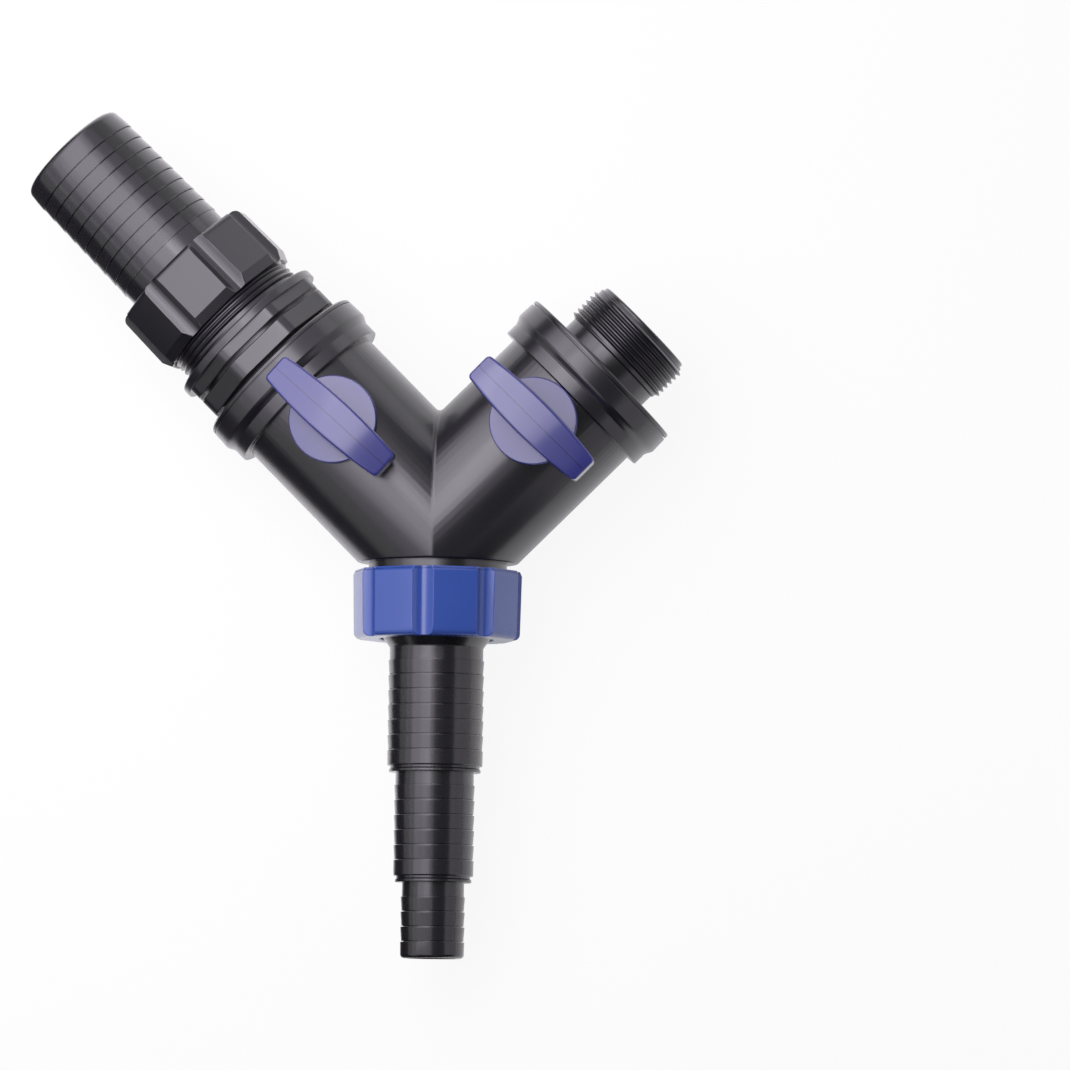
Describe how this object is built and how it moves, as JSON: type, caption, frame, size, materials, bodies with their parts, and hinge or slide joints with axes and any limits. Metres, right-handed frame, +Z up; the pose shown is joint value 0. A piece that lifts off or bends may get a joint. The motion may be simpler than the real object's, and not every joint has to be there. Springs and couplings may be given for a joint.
{
  "type": "tubing y connector",
  "caption": "Tubing Y connector that splits a hose into two valved branches, with threaded outlets, union nuts and barbed hose tails.",
  "frame": {"origin": "middle of the underside of the fitting as it lies at rest, handles up", "axes": "+X to the right with the stem towards the viewer, +Y from the stem's free end to the fork, +Z up"},
  "size_m": [0.263, 0.3388, 0.0914],
  "materials": {
    "body_black": "satin",
    "tail_black": "semi-gloss",
    "nut_blue": "semi-gloss",
    "handle_blue": "semi-gloss",
    "ball_grey": "polished",
    "seat_white": "smooth",
    "rubber_black": "matt"
  },
  "bodies": {
    "body": {"y_body": "body_black", "adapter": "body_black", "adapter_gasket": "rubber_black", "left_outlet": "body_black", "left_outlet_ring": "rubber_black", "left_inner_seat": "seat_white", "left_outer_seat": "seat_white", "right_outlet": "body_black", "right_outlet_ring": "rubber_black", "right_inner_seat": "seat_white", "right_outer_seat": "seat_white"},
    "left_valve": {"left_handle": "handle_blue", "left_spindle": "body_black", "left_spindle_ring": "rubber_black", "left_ball": "ball_grey"},
    "right_valve": {"right_handle": "handle_blue", "right_spindle": "body_black", "right_spindle_ring": "rubber_black", "right_ball": "ball_grey"},
    "left_tail": {"left_hose_tail": "tail_black", "left_union_gasket": "rubber_black"},
    "left_nut": {"left_union_nut": "body_black"},
    "base_tail": {"stepped_hose_tail": "tail_black", "base_union_gasket": "rubber_black"},
    "base_nut": {"base_union_nut": "nut_blue"}
  },
  "joints": [
    {"name": "left_valve_turn", "type": "hinge", "parent": "body", "child": "left_valve", "pos_m": [-0.00489, 0.04288, 0.03719], "axis": [0, -0.0475, 0.9989], "range_deg": [0, 86.3]},
    {"name": "right_valve_turn", "type": "hinge", "parent": "body", "child": "right_valve", "pos_m": [0.07473, 0.04288, 0.03719], "axis": [0, -0.0475, 0.9989], "range_deg": [-90.8, 0]},
    {"name": "left_tail_slide", "type": "slide", "parent": "body", "child": "left_tail", "axis": [-0.7071, 0.7063, 0.0336], "range_m": [0, 0.0162]},
    {"name": "left_nut_turn", "type": "hinge", "parent": "left_tail", "child": "left_nut", "pos_m": [-0.06266, 0.10058, 0.03993], "axis": [-0.7071, 0.7063, 0.0336], "range_deg": [0, 2520]},
    {"name": "base_tail_slide", "type": "slide", "parent": "body", "child": "base_tail", "axis": [0, -0.9989, -0.0475], "range_m": [0, 0.0162]},
    {"name": "base_nut_turn", "type": "hinge", "parent": "base_tail", "child": "base_nut", "pos_m": [0.03492, -0.03175, 0.03364], "axis": [0, -0.9989, -0.0475], "range_deg": [0, 2520]}
  ],
  "couplings": [
    {"joint": "left_tail_slide", "follows": "left_nut_turn", "m_per_rad": 0.00036749},
    {"joint": "base_tail_slide", "follows": "base_nut_turn", "m_per_rad": 0.00036749}
  ]
}
